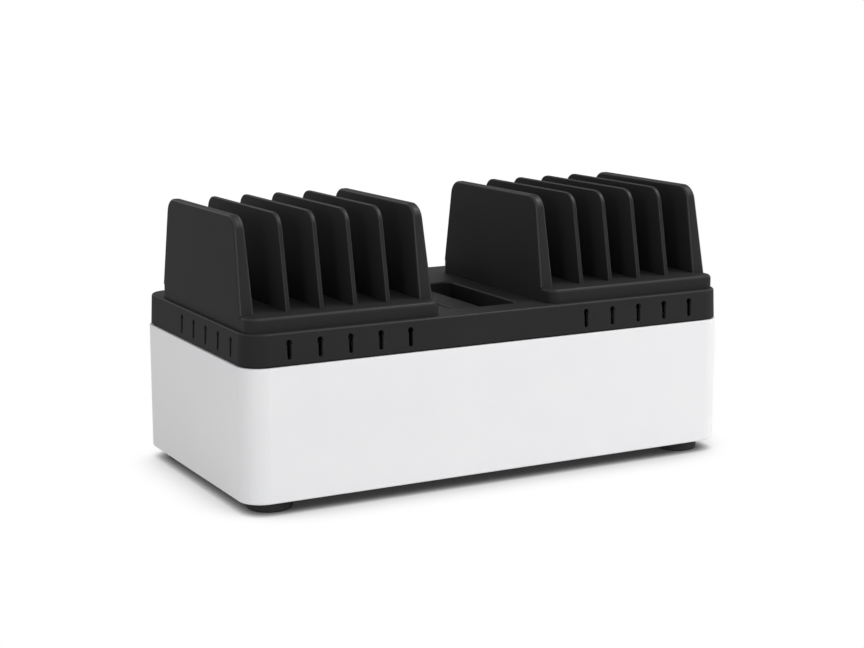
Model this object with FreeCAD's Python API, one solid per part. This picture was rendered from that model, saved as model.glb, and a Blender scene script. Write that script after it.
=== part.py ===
import FreeCAD, Part
import math
import os

from FreeCAD import Vector

# Charging station organizer: a white tub on rubber feet holds two mains outlet strips and the chargers,
# a black lid with keyhole cable slots closes it, and two racks for tablets stand in seats on the lid.
# Millimetres, +Z up. The origin is on the table under the middle of the station. X runs along the
# station and -Y is its front.

# Fits between pieces
cut_overrun = 1.0
fit_clearance = 0.2
screw_clearance = 0.1
running_clearance = 0.1
lift_clearance = 0.5

# Base tub
base_length = 500.0
base_depth = 254.0
base_height = 119.5
base_corner_radius = 22.0
base_wall = 3.0
base_floor = 3.0
base_rim_radius = 0.8
base_bottom_radius = 2.0
seat_rib_thickness = 3.0
seat_rib_reach = 8.0
seat_rib_x_shares = (-0.38, -0.2, 0.2, 0.38)
seat_rib_y_shares = (-0.26, 0.26)
vent_width = 3.0
vent_length = 44.0
vent_pitch = 9.0
vent_count = 9
vent_x_share = 0.22
vent_y_share = -0.2

# Feet and their screws
foot_height = 11.0
foot_radius = 20.5
foot_edge_radius = 2.0
foot_inset_x = 33.0
foot_inset_y = 31.0
foot_spigot_radius = 9.0
foot_spigot_height = 1.0
foot_counterbore_radius = 5.5
foot_counterbore_depth = 7.0
foot_boss_radius = 6.0
foot_boss_height = 12.0
foot_screw_head_radius = 4.2
foot_screw_head_height = 2.6
foot_screw_radius = 1.9
foot_screw_length = 14.0

# Lid, whose skirt is set in from the tub and drawn in a little more at its top
lid_gap = 1.3
lid_height = 28.0
lid_inset = 1.6
lid_draft = 1.1
lid_wall = 3.0
lid_deck = 3.0
lid_edge_radius = 2.5
lip_depth = 10.0
lip_thickness = 2.5
lip_band = 3.0

# Keyhole slots for the charging leads
cable_slot_count = 5
cable_slot_pitch = 29.2
cable_slot_head_diameter = 5.6
cable_slot_width = 4.0
cable_slot_height = 17.5
cable_slot_sill = 4.2
side_slots_setback = 96.0

# Hand well and grip bar in the middle of the lid
well_width = 70.0
well_front_ledge = 31.0
well_back_ledge = 93.0
well_corner_radius = 8.0
well_rim_radius = 1.8
well_depth = 45.0
well_wall = 2.5
well_floor = 2.5
well_frame_width = 10.0
well_frame_height = 5.5
well_flange = 2.5
well_screws_per_side = 3
grip_width = 29.0
grip_height = 16.0
grip_drop = 6.0
grip_edge_radius = 6.0
grip_screw_spacing = 14.0
lid_screw_head_radius = 3.0
lid_screw_head_height = 2.0
lid_screw_radius = 1.5
lid_screw_grip = 4.5

# Racks that lift out of the lid
tray_end_ledge = 6.4
tray_middle_gap = 113.6
tray_front_ledge = 9.0
tray_back_ledge = 36.0
tray_rise = 13.0
tray_seat_depth = 4.0
tray_corner_radius = 10.0
tray_edge_radius = 4.0
tray_top = 3.0
tray_wall = 2.5
tray_plate = 3.5
tray_rib = 2.0
tray_rib_y_shares = (-0.1, 0.1)
tray_post_radius = 4.0
tray_post_inset = 9.0
pad_radius = 8.0
pad_height = 1.5
pad_recess = 0.5
pad_inset = 24.0
tray_screw_head_radius = 2.8
tray_screw_head_height = 1.8
tray_screw_radius = 1.4
plate_screw_recess = 2.0
plate_screw_length = 8.0
wall_screw_length = 14.0
wall_screw_y_shares = (-0.3, 0.3)

# End walls and dividers of a rack, which share one outline
panel_front_setback = 16.8
panel_back_setback = 4.5
panel_front_height = 83.4
panel_back_height = 81.9
panel_front_lean = 11.3
panel_back_lean = 7.3
panel_front_radius = 16.0
panel_back_radius = 14.0
end_wall_thickness = 13.6
end_wall_draft = 2.0
end_wall_inner_draft = 0.9
end_wall_shell = 2.5
end_wall_edge_radius = 3.0
end_wall_boss_length = 10.0
end_wall_boss_height = 10.0
key_height = 5.0
key_end_gap = 4.0
divider_count = 4
end_slot_extra = 1.2
divider_thickness = 4.2
divider_edge_radius = 1.2
tongue_depth = 5.0
tongue_end_inset = 12.0

# Plate with the mains fittings in the tub's back wall
rear_plate_width = 134.0
rear_plate_height = 56.0
rear_plate_thickness = 2.5
rear_plate_centre_z = 86.0
rear_window_margin_x = 13.0
rear_window_margin_z = 6.0
rear_collar_depth = 3.0
rear_screw_inset_x = 6.0
rear_screw_inset_z = 14.0
rear_screw_head_radius = 2.8
rear_screw_head_height = 1.8
rear_screw_radius = 1.4
rear_screw_grip = 4.0
terminal_cover_screw_gap = 2.2
terminal_cover_margin = 2.0
terminal_cover_depth = 36.0
terminal_cover_wall = 2.0

# Appliance inlet
inlet_margin = 4.5
inlet_flange_width = 31.0
inlet_flange_height = 25.0
inlet_flange_thickness = 2.0
inlet_flange_radius = 3.0
inlet_body_width = 27.5
inlet_body_height = 20.0
inlet_body_depth = 22.0
inlet_socket_width = 24.2
inlet_socket_height = 16.6
inlet_socket_depth = 18.0
inlet_socket_bevel = 5.0
inlet_pin_width = 2.0
inlet_pin_height = 4.0
inlet_pin_length = 14.0
inlet_pin_spacing = 14.0
inlet_pin_offset = 1.8

# Mains rocker switch
switch_bezel_width = 25.0
switch_bezel_height = 33.0
switch_bezel_thickness = 2.0
switch_bezel_radius = 3.0
switch_body_width = 21.6
switch_body_height = 29.6
switch_body_depth = 18.0
switch_body_floor = 2.0
switch_opening_width = 18.0
switch_opening_height = 26.0
rocker_side_gap = 0.3
rocker_half_angle = 8.0
rocker_rise = 4.0
rocker_back = 3.0
rocker_pin_radius = 1.5
rocker_pin_reach = 1.6

# Resettable breaker
breaker_margin = 6.0
breaker_collar_radius = 8.0
breaker_collar_thickness = 3.0
breaker_collar_bevel = 1.0
breaker_body_radius = 7.0
breaker_body_depth = 20.0
breaker_button_radius = 4.5
breaker_button_length = 12.0
breaker_button_edge_radius = 0.8

# Outlet strips on the floor of the tub
strip_end_gap = 12.0
strip_middle_gap = 70.0
strip_back_gap = 60.0
strip_width = 56.0
strip_height = 31.0
strip_wall = 2.5
strip_floor = 2.5
strip_corner_radius = 5.0
strip_cover = 3.0
strip_cover_edge_radius = 1.2
strip_standoff = 5.0
strip_standoff_radius = 5.0
strip_post_radius = 4.5
strip_post_inset = 6.0
strip_screw_head_radius = 3.2
strip_screw_head_height = 2.2
strip_screw_radius = 1.7
strip_screw_bite = 6.0
outlet_end_margin = 8.0
outlet_pitch = 36.0
outlet_length = 30.0
outlet_width = 36.0
outlet_height = 16.0
outlet_proud = 1.0
outlet_flange = 2.0
outlet_flange_thickness = 2.5
outlet_hole_depth = 12.0
outlet_blade_spacing = 12.7
outlet_blade_width = 2.2
outlet_blade_length = 8.0
outlet_earth_radius = 2.6
outlet_earth_offset = 9.0
busbar_count = 3
busbar_width = 4.5
busbar_thickness = 1.2
busbar_end_inset = 14.0

# Inside leads from the terminals to the strips, and their clip
lead_radius = 3.5
lead_x = 8.0
lead_z = 31.0
lead_bend_share = 0.45
lead_entry = 6.0
lead_clip_width = 36.0
lead_clip_depth = 8.0
lead_clip_cap = 3.0
lead_clip_radius = 3.0

# Heights and places that follow from the sizes above
base_bottom = foot_height
base_top = base_bottom + base_height
floor_top = base_bottom + base_floor
lid_bottom = base_top + lid_gap
lid_top = lid_bottom + lid_height
deck_underside = lid_top - lid_deck
lip_bottom = lid_bottom - lip_depth
seat_floor = lid_top - tray_seat_depth
tray_underside = seat_floor + pad_height - pad_recess
tray_floor = lid_top + tray_rise
tray_front = -base_depth / 2 + tray_front_ledge
tray_back = base_depth / 2 - tray_back_ledge
tray_depth = tray_back - tray_front
tray_centre_y = (tray_front + tray_back) / 2
tray_length = base_length / 2 - tray_end_ledge - tray_middle_gap / 2
tray_centre_x = (tray_middle_gap + tray_length) / 2
panel_front = tray_front + panel_front_setback
panel_back = tray_back - panel_back_setback
panel_middle = (panel_front + panel_back) / 2
well_frame_bottom = deck_underside - well_frame_height
well_floor_top = lid_top - well_depth
grip_top = lid_top - grip_drop
well_front = -base_depth / 2 + well_front_ledge
well_back = base_depth / 2 - well_back_ledge
well_length = well_back - well_front
well_centre_y = (well_front + well_back) / 2
back_face = base_depth / 2
plate_face = back_face - base_wall - rear_collar_depth
plate_inside = plate_face - rear_plate_thickness
rear_window_width = rear_plate_width - 2 * rear_window_margin_x
rear_window_height = rear_plate_height - 2 * rear_window_margin_z
rear_screw_spacing_x = rear_plate_width - 2 * rear_screw_inset_x
rear_screw_spacing_z = rear_plate_height - 2 * rear_screw_inset_z
terminal_cover_width = rear_screw_spacing_x - 2 * (rear_screw_head_radius + terminal_cover_screw_gap)
terminal_cover_height = rear_plate_height - 2 * terminal_cover_margin
terminal_cover_bottom = rear_plate_centre_z - terminal_cover_height / 2
inlet_x = -rear_window_width / 2 + inlet_margin + inlet_flange_width / 2
breaker_x = rear_window_width / 2 - breaker_margin - breaker_collar_radius
switch_x = (inlet_x + inlet_flange_width / 2 + breaker_x - breaker_collar_radius) / 2
strip_bottom = floor_top + strip_standoff
strip_top = strip_bottom + strip_height
strip_cover_top = strip_top + strip_cover
strip_length = base_length / 2 - base_wall - strip_end_gap - strip_middle_gap / 2
strip_centre_x = (strip_middle_gap + strip_length) / 2
strip_centre_y = base_depth / 2 - base_wall - strip_back_gap - strip_width / 2
outlet_count = int((strip_length - 2 * outlet_end_margin) / outlet_pitch)
lead_exit_y = plate_inside - terminal_cover_depth / 2
lead_clip_y = (lead_exit_y + strip_centre_y) / 2

EAST = Vector(1, 0, 0)
NORTH = Vector(0, 1, 0)
UP = Vector(0, 0, 1)
QUARTER_TURN = 90
flat_tolerance = 0.001


def block(x_range, y_range, z_range):
    """Box between two places on each axis."""
    low = Vector(min(x_range), min(y_range), min(z_range))
    high = Vector(max(x_range), max(y_range), max(z_range))
    size = high - low
    return Part.makeBox(size.x, size.y, size.z, low)


def about(centre, width):
    """The two ends of a width about its centre."""
    return (centre - width / 2, centre + width / 2)


def edges_along(shape, direction):
    """Straight edges that run along a direction."""
    chosen = []
    for edge in shape.Edges:
        ends = [vertex.Point for vertex in edge.Vertexes]
        if len(ends) == 2 and (ends[1] - ends[0]).cross(direction).Length < flat_tolerance:
            chosen.append(edge)
    return chosen


def edges_level(shape, height):
    """Edges that lie flat at one height."""
    low, high = height - flat_tolerance, height + flat_tolerance
    return [edge for edge in shape.Edges if edge.BoundBox.ZMin > low and edge.BoundBox.ZMax < high]


def rounded_block(length, depth, z_range, radius, centre=(0, 0)):
    """Upright block with rounded corners, about a centre in plan."""
    body = block(about(centre[0], length), about(centre[1], depth), z_range)
    return body.makeFillet(radius, edges_along(body, UP))


def rounded_slab(x_range, y_range, z_range, radius):
    """Block whose edges along Y are rounded, for what faces the back."""
    body = block(x_range, y_range, z_range)
    return body.makeFillet(radius, edges_along(body, NORTH))


def peg(x, y, z_range, radius):
    """Upright cylinder."""
    return Part.makeCylinder(radius, max(z_range) - min(z_range), Vector(x, y, min(z_range)), UP)


def rod(x, y_range, z, radius):
    """Cylinder that runs from front to back."""
    return Part.makeCylinder(radius, max(y_range) - min(y_range), Vector(x, min(y_range), z), NORTH)


def screw(seat, direction, head_radius, head_height, radius, length):
    """Pan-head screw whose head sits on a seat and whose shank runs along a direction."""
    head = Part.makeCylinder(head_radius, head_height, seat, direction * -1)
    return head.fuse(Part.makeCylinder(radius, length, seat, direction))


def four_corners(length, depth, centre=(0, 0)):
    """The corners of a rectangle in plan."""
    return [(x, y) for x in about(centre[0], length) for y in about(centre[1], depth)]


def in_row(count, pitch, centre):
    """Even places about a centre."""
    return [centre + (index - (count - 1) / 2) * pitch for index in range(count)]


foot_places = four_corners(base_length - 2 * foot_inset_x, base_depth - 2 * foot_inset_y)
foot_names = ("front_left", "rear_left", "front_right", "rear_right")


def strip_places(side):
    """Where the screws of the strip on one side stand."""
    length = strip_length - 2 * strip_post_inset
    return four_corners(length, strip_width - 2 * strip_post_inset, (side * strip_centre_x, strip_centre_y))


def rear_screw_places():
    """Where the screws of the rear plate are, in X and Z."""
    return four_corners(rear_screw_spacing_x, rear_screw_spacing_z, (0, rear_plate_centre_z))


def base_shell():
    """Moulded tub: rounded box, ribs that seat the lid, bosses on its floor and a framed rear window."""
    outer = rounded_block(base_length, base_depth, (base_bottom, base_top), base_corner_radius)
    outer = outer.makeFillet(base_bottom_radius, edges_level(outer, base_bottom))
    outer = outer.makeFillet(base_rim_radius, edges_level(outer, base_top))
    inner_length, inner_depth = base_length - 2 * base_wall, base_depth - 2 * base_wall
    inner = rounded_block(inner_length, inner_depth, (floor_top, base_top + cut_overrun),
                          base_corner_radius - base_wall)
    shell = outer.cut(inner)

    added = []
    rib_heights = (base_bottom + base_floor / 2, lip_bottom)
    for side in (-1, 1):
        wall_y = side * (inner_depth / 2 + base_wall / 2)
        wall_x = side * (inner_length / 2 + base_wall / 2)
        for share in seat_rib_x_shares:
            reach = (wall_y, side * (inner_depth / 2 - seat_rib_reach))
            added.append(block(about(share * base_length, seat_rib_thickness), reach, rib_heights))
        for share in seat_rib_y_shares:
            reach = (wall_x, side * (inner_length / 2 - seat_rib_reach))
            added.append(block(reach, about(share * base_depth, seat_rib_thickness), rib_heights))
        for x, y in strip_places(side):
            added.append(peg(x, y, (base_bottom + base_floor / 2, strip_bottom), strip_standoff_radius))
    boss_heights = (base_bottom + base_floor / 2, floor_top + foot_boss_height)
    added += [peg(x, y, boss_heights, foot_boss_radius) for x, y in foot_places]
    collar_y = (plate_face, back_face - base_wall / 2)
    added.append(block(about(0, rear_plate_width), collar_y, about(rear_plate_centre_z, rear_plate_height)))
    shell = shell.fuse(added)

    removed = []
    window_y = (plate_face - cut_overrun, back_face + cut_overrun)
    removed.append(block(about(0, rear_window_width), window_y,
                         about(rear_plate_centre_z, rear_window_height)))
    for x, z in rear_screw_places():
        removed.append(rod(x, (plate_face - cut_overrun, plate_face + rear_screw_grip), z,
                           rear_screw_radius + screw_clearance))
    for x, y in foot_places:
        removed.append(peg(x, y, (base_bottom - cut_overrun, base_bottom + foot_spigot_height),
                           foot_spigot_radius + fit_clearance))
        screw_top = foot_counterbore_depth + foot_screw_length
        removed.append(peg(x, y, (base_bottom, screw_top), foot_screw_radius + screw_clearance))
    for side in (-1, 1):
        for x, y in strip_places(side):
            removed.append(peg(x, y, (strip_bottom - strip_screw_bite, strip_bottom + cut_overrun),
                               strip_screw_radius + screw_clearance))
        for x in in_row(vent_count, vent_pitch, side * vent_x_share * base_length):
            removed.append(block(about(x, vent_width), about(vent_y_share * base_depth, vent_length),
                                 (base_bottom - cut_overrun, floor_top + cut_overrun)))
    return shell.cut(removed)


def foot(x, y):
    """Rubber disc with a rounded tread edge, a spigot into the tub and a sunk screw hole."""
    body = peg(x, y, (0, foot_height), foot_radius)
    body = body.makeFillet(foot_edge_radius, edges_level(body, 0))
    body = body.fuse(peg(x, y, (foot_height / 2, foot_height + foot_spigot_height), foot_spigot_radius))
    body = body.cut(peg(x, y, (-cut_overrun, foot_counterbore_depth), foot_counterbore_radius))
    hole_top = foot_height + foot_spigot_height + cut_overrun
    return body.cut(peg(x, y, (-cut_overrun, hole_top), foot_screw_radius + screw_clearance))


def foot_screws():
    """One screw up through each foot."""
    return [screw(Vector(x, y, foot_counterbore_depth), UP, foot_screw_head_radius, foot_screw_head_height,
                  foot_screw_radius, foot_screw_length) for x, y in foot_places]


def rear_plate():
    """Flat plate behind the rear window, pierced for the inlet, the switch and the breaker."""
    plate_y = (plate_inside, plate_face)
    plate = block(about(0, rear_plate_width), plate_y, about(rear_plate_centre_z, rear_plate_height))
    through = (plate_inside - cut_overrun, plate_face + cut_overrun)
    removed = [
        block(about(inlet_x, inlet_body_width + 2 * fit_clearance), through,
              about(rear_plate_centre_z, inlet_body_height + 2 * fit_clearance)),
        block(about(switch_x, switch_body_width + 2 * fit_clearance), through,
              about(rear_plate_centre_z, switch_body_height + 2 * fit_clearance)),
        rod(breaker_x, through, rear_plate_centre_z, breaker_body_radius + fit_clearance),
    ]
    for x, z in rear_screw_places():
        removed.append(rod(x, through, z, rear_screw_radius + screw_clearance))
    return plate.cut(removed)


def rear_plate_screws():
    """Screws from inside the tub, through the cover's ears and the plate into the window's frame."""
    seat_y = plate_inside - terminal_cover_wall
    length = terminal_cover_wall + rear_plate_thickness + rear_screw_grip
    return [screw(Vector(x, seat_y, z), NORTH, rear_screw_head_radius, rear_screw_head_height,
                  rear_screw_radius, length) for x, z in rear_screw_places()]


def terminal_cover():
    """Box over the live terminals, held by an ear at each end, with two lead holes in its underside."""
    cover_y = (plate_inside - terminal_cover_depth, plate_inside)
    outer = block(about(0, terminal_cover_width), cover_y,
                  about(rear_plate_centre_z, terminal_cover_height))
    inner = block(about(0, terminal_cover_width - 2 * terminal_cover_wall),
                  (cover_y[0] + terminal_cover_wall, plate_inside + cut_overrun),
                  about(rear_plate_centre_z, terminal_cover_height - 2 * terminal_cover_wall))
    ears = block(about(0, rear_plate_width), (plate_inside - terminal_cover_wall, plate_inside),
                 about(rear_plate_centre_z, (rear_screw_spacing_z + rear_plate_height) / 2))
    cover = outer.fuse(ears).cut(inner)
    holes = [rod(x, (plate_inside - 2 * terminal_cover_wall, plate_inside + cut_overrun), z,
                 rear_screw_radius + screw_clearance) for x, z in rear_screw_places()]
    bottom_top = terminal_cover_bottom + terminal_cover_wall
    through = (terminal_cover_bottom - cut_overrun, bottom_top + cut_overrun)
    holes += [peg(side * lead_x, lead_exit_y, through, lead_radius + fit_clearance) for side in (-1, 1)]
    return cover.cut(holes)


def inlet_socket(margin_y):
    """The recess that an appliance connector enters, with its two bevelled corners."""
    half_width, half_height = inlet_socket_width / 2, inlet_socket_height / 2
    face_y = plate_face + inlet_flange_thickness
    outline = [(-half_width, -half_height), (half_width, -half_height),
               (half_width, half_height - inlet_socket_bevel),
               (half_width - inlet_socket_bevel, half_height),
               (inlet_socket_bevel - half_width, half_height),
               (-half_width, half_height - inlet_socket_bevel)]
    points = [Vector(inlet_x + x, face_y - inlet_socket_depth, rear_plate_centre_z + z) for x, z in outline]
    face = Part.Face(Part.makePolygon(points + points[:1]))
    return face.extrude(NORTH * (inlet_socket_depth + margin_y))


def mains_inlet():
    """Appliance inlet: a flange on the plate and a deep socket behind it."""
    flange_y = (plate_face, plate_face + inlet_flange_thickness)
    flange = rounded_slab(about(inlet_x, inlet_flange_width), flange_y,
                          about(rear_plate_centre_z, inlet_flange_height), inlet_flange_radius)
    body = block(about(inlet_x, inlet_body_width), (plate_face - inlet_body_depth, flange_y[1]),
                 about(rear_plate_centre_z, inlet_body_height))
    return flange.fuse(body).cut(inlet_socket(cut_overrun))


def inlet_pins():
    """Two flat pins side by side and the earth pin above them, standing on the socket's floor."""
    floor_y = plate_face + inlet_flange_thickness - inlet_socket_depth
    places = [(inlet_x - inlet_pin_spacing / 2, -inlet_pin_offset), (inlet_x, inlet_pin_offset),
              (inlet_x + inlet_pin_spacing / 2, -inlet_pin_offset)]
    return [block(about(x, inlet_pin_width), (floor_y, floor_y + inlet_pin_length),
                  about(rear_plate_centre_z + z, inlet_pin_height)) for x, z in places]


switch_face = plate_face + switch_bezel_thickness
rocker_axis_y = switch_face - rocker_rise
rocker_sweep = switch_opening_height / 2 - rocker_side_gap


def switch_frame():
    """Bezel on the plate and an open box behind it, with a bearing hole in each side."""
    bezel = rounded_slab(about(switch_x, switch_bezel_width), (plate_face, switch_face),
                         about(rear_plate_centre_z, switch_bezel_height), switch_bezel_radius)
    body = block(about(switch_x, switch_body_width), (plate_face - switch_body_depth, switch_face),
                 about(rear_plate_centre_z, switch_body_height))
    hollow_y = (plate_face - switch_body_depth + switch_body_floor, switch_face + cut_overrun)
    hollow = block(about(switch_x, switch_opening_width), hollow_y,
                   about(rear_plate_centre_z, switch_opening_height))
    bearing_start = Vector(switch_x - switch_body_width / 2, rocker_axis_y, rear_plate_centre_z)
    bearing = Part.makeCylinder(rocker_pin_radius + running_clearance, switch_body_width, bearing_start, EAST)
    return bezel.fuse(body).cut([hollow, bearing])


def switch_rocker():
    """Shallow V with arc ends about its two stub pins, tipped to its off side."""
    width = switch_opening_width - 2 * rocker_side_gap
    left = switch_x - width / 2
    slope = math.tan(math.radians(rocker_half_angle))
    tip = rocker_rise + rocker_sweep * slope
    outline = [(-rocker_back, -rocker_sweep), (tip, -rocker_sweep), (rocker_rise, 0), (tip, rocker_sweep),
               (-rocker_back, rocker_sweep)]
    points = [Vector(left, rocker_axis_y + y, rear_plate_centre_z + z) for y, z in outline]
    paddle = Part.Face(Part.makePolygon(points + points[:1])).extrude(EAST * width)
    axis_point = Vector(left, rocker_axis_y, rear_plate_centre_z)
    paddle = paddle.common(Part.makeCylinder(rocker_sweep, width, axis_point, EAST))
    pin_length = width + 2 * rocker_pin_reach
    pin = Part.makeCylinder(rocker_pin_radius, pin_length, axis_point - EAST * rocker_pin_reach, EAST)
    rocker = paddle.fuse(pin)
    return rocker.rotate(axis_point, EAST, -rocker_half_angle)


def breaker_body():
    """Round breaker in the plate: collar, barrel and the bore of its button."""
    collar_y = (plate_face, plate_face + breaker_collar_thickness)
    body = rod(breaker_x, collar_y, rear_plate_centre_z, breaker_collar_radius)
    rim = [edge for edge in body.Edges if edge.BoundBox.YMin > collar_y[1] - flat_tolerance]
    body = body.makeChamfer(breaker_collar_bevel, rim)
    barrel_y = (plate_face - breaker_body_depth, plate_face + breaker_collar_thickness / 2)
    body = body.fuse(rod(breaker_x, barrel_y, rear_plate_centre_z, breaker_body_radius))
    bore_y = (collar_y[1] - breaker_button_length, collar_y[1] + cut_overrun)
    return body.cut(rod(breaker_x, bore_y, rear_plate_centre_z, breaker_button_radius + running_clearance))


def breaker_button():
    """Reset button, flush with its collar while the breaker is set."""
    face_y = plate_face + breaker_collar_thickness
    button_y = (face_y - breaker_button_length, face_y)
    button = rod(breaker_x, button_y, rear_plate_centre_z, breaker_button_radius)
    rim = [edge for edge in button.Edges if edge.BoundBox.YMin > face_y - flat_tolerance]
    return button.makeFillet(breaker_button_edge_radius, rim)


def strip_body(side):
    """Open trough of an outlet strip, with a screw post in each corner and a lead hole."""
    centre = (side * strip_centre_x, strip_centre_y)
    outer = rounded_block(strip_length, strip_width, (strip_bottom, strip_top), strip_corner_radius, centre)
    inner = rounded_block(strip_length - 2 * strip_wall, strip_width - 2 * strip_wall,
                          (strip_bottom + strip_floor, strip_top + cut_overrun),
                          strip_corner_radius - strip_wall, centre)
    posts = [peg(x, y, (strip_bottom, strip_top), strip_post_radius) for x, y in strip_places(side)]
    through = (strip_bottom - cut_overrun, strip_top + cut_overrun)
    holes = [peg(x, y, through, strip_screw_radius + screw_clearance) for x, y in strip_places(side)]
    end_x = side * (strip_centre_x - strip_length / 2)
    lead_hole = Part.makeCylinder(lead_radius + fit_clearance, strip_wall + 2 * cut_overrun,
                                  Vector(end_x - side * cut_overrun, strip_centre_y, lead_z), EAST * side)
    return outer.cut(inner).fuse(posts).cut(holes + [lead_hole])


def outlet_places(side):
    """The middles of the sockets in one strip."""
    return in_row(outlet_count, outlet_pitch, side * strip_centre_x)


def strip_cover_plate(side):
    """Plate over the trough with a window for each socket."""
    centre = (side * strip_centre_x, strip_centre_y)
    plate = rounded_block(strip_length, strip_width, (strip_top, strip_cover_top),
                          strip_corner_radius, centre)
    plate = plate.makeFillet(strip_cover_edge_radius, edges_level(plate, strip_cover_top))
    through = (strip_top - cut_overrun, strip_cover_top + cut_overrun)
    windows = [block(about(x, outlet_length + 2 * fit_clearance),
                     about(strip_centre_y, outlet_width + 2 * fit_clearance), through)
               for x in outlet_places(side)]
    holes = [peg(x, y, through, strip_screw_radius + screw_clearance) for x, y in strip_places(side)]
    return plate.cut(windows + holes)


outlet_top = strip_cover_top + outlet_proud
outlet_bottom = outlet_top - outlet_height


def outlets(side):
    """Socket blocks, each trapped under the cover by its flange."""
    made = []
    for x in outlet_places(side):
        body = block(about(x, outlet_length), about(strip_centre_y, outlet_width),
                     (outlet_bottom, outlet_top))
        flange = block(about(x, outlet_length + 2 * outlet_flange),
                       about(strip_centre_y, outlet_width + 2 * outlet_flange),
                       (strip_top - outlet_flange_thickness, strip_top))
        hole_z = (outlet_top - outlet_hole_depth, outlet_top + cut_overrun)
        holes = [block(about(x, outlet_blade_length), about(y, outlet_blade_width), hole_z)
                 for y in about(strip_centre_y, outlet_blade_spacing)]
        holes.append(peg(x + outlet_earth_offset, strip_centre_y, hole_z, outlet_earth_radius))
        made.append(body.fuse(flange).cut(holes))
    return made


def busbars(side):
    """Brass bars along the underside of the sockets."""
    along = about(side * strip_centre_x, strip_length - 2 * busbar_end_inset)
    across = in_row(busbar_count, outlet_blade_spacing / 2, strip_centre_y)
    heights = (outlet_bottom - busbar_thickness, outlet_bottom)
    return [block(along, about(y, busbar_width), heights) for y in across]


def strip_screws():
    """Long screws down through each strip into the tub's floor."""
    length = strip_cover + strip_height + strip_screw_bite
    return [screw(Vector(x, y, strip_cover_top), UP * -1, strip_screw_head_radius, strip_screw_head_height,
                  strip_screw_radius, length) for side in (-1, 1) for x, y in strip_places(side)]


def lead(side):
    """Inside lead: down out of the terminal cover, forward through the clip and sideways into a strip."""
    start = Vector(side * lead_x, lead_exit_y, terminal_cover_bottom + lead_entry)
    end_x = side * (strip_centre_x - strip_length / 2 + lead_entry)
    route = [start, Vector(start.x, lead_exit_y, lead_z), Vector(start.x, strip_centre_y, lead_z),
             Vector(end_x, strip_centre_y, lead_z)]
    edges = []
    here = route[0]
    for before, corner, after in zip(route, route[1:], route[2:]):
        arriving, leaving = (corner - before).normalize(), (after - corner).normalize()
        reach = lead_bend_share * min((corner - before).Length, (after - corner).Length)
        bend_start, bend_end = corner - arriving * reach, corner + leaving * reach
        inward = (leaving - arriving).normalize()
        half_turn = arriving.getAngle(leaving) / 2
        radius = reach / math.tan(half_turn)
        middle = corner + inward * (radius / math.cos(half_turn) - radius)
        edges.append(Part.LineSegment(here, bend_start).toShape())
        edges.append(Part.Arc(bend_start, middle, bend_end).toShape())
        here = bend_end
    edges.append(Part.LineSegment(here, route[-1]).toShape())
    ring = Part.Wire(Part.makeCircle(lead_radius, start, UP))
    return Part.Wire(edges).makePipeShell([ring], True, True)


def lead_clip():
    """Clip on the floor that both leads pass through."""
    clip_top = lead_z + lead_radius + lead_clip_cap
    body = block(about(0, lead_clip_width), about(lead_clip_y, lead_clip_depth), (floor_top, clip_top))
    body = body.makeFillet(lead_clip_radius, [edge for edge in edges_along(body, NORTH)
                                              if edge.BoundBox.ZMin > floor_top + lead_clip_radius])
    passage = about(lead_clip_y, lead_clip_depth + 2 * cut_overrun)
    return body.cut([rod(side * lead_x, passage, lead_z, lead_radius + fit_clearance) for side in (-1, 1)])


def keyhole(depth):
    """Cutter for one cable slot, from the front: a round head over a narrow neck with a round end."""
    sill = lid_bottom + cable_slot_sill
    head_radius, neck_radius = cable_slot_head_diameter / 2, cable_slot_width / 2
    head_z = sill + cable_slot_height - head_radius
    reach = (-depth, depth)
    neck = block(about(0, cable_slot_width), reach, (sill + neck_radius, head_z))
    return neck.fuse([rod(0, reach, head_z, head_radius), rod(0, reach, sill + neck_radius, neck_radius)])


def cable_slots():
    """Cutters for all cable slots: two groups in the front and one in each side."""
    cutter = keyhole(lid_inset + lid_draft + lid_wall + cut_overrun)
    cutters = []
    for side in (-1, 1):
        for x in in_row(cable_slot_count, cable_slot_pitch, side * tray_centre_x):
            cutters.append(cutter.translated(Vector(x, -base_depth / 2, 0)))
        for y in in_row(cable_slot_count, cable_slot_pitch, side_slots_setback - base_depth / 2):
            turned = cutter.rotated(Vector(), UP, QUARTER_TURN)
            cutters.append(turned.translated(Vector(side * base_length / 2, y, 0)))
    return cutters


def inset_block(inset, z_range):
    """Upright block that follows the tub's outline at an inset."""
    return rounded_block(base_length - 2 * inset, base_depth - 2 * inset, z_range, base_corner_radius - inset)


def rounded_ring(outer_inset, inner_inset, z_range):
    """Upright wall that follows the tub's outline between two insets."""
    through = (min(z_range) - cut_overrun, max(z_range) + cut_overrun)
    return inset_block(outer_inset, z_range).cut(inset_block(inner_inset, through))


def drafted_block(inset, top_inset, z_range):
    """Block that follows the tub's outline and is drawn in towards its top."""
    outlines = []
    for level, level_inset in zip(z_range, (inset, top_inset)):
        slab = inset_block(level_inset, (level, level + lid_height))
        foot_face = min(slab.Faces, key=lambda face: face.CenterOfMass.z)
        outlines.append(foot_face.OuterWire)
    return Part.makeLoft(outlines, True, True)


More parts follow.
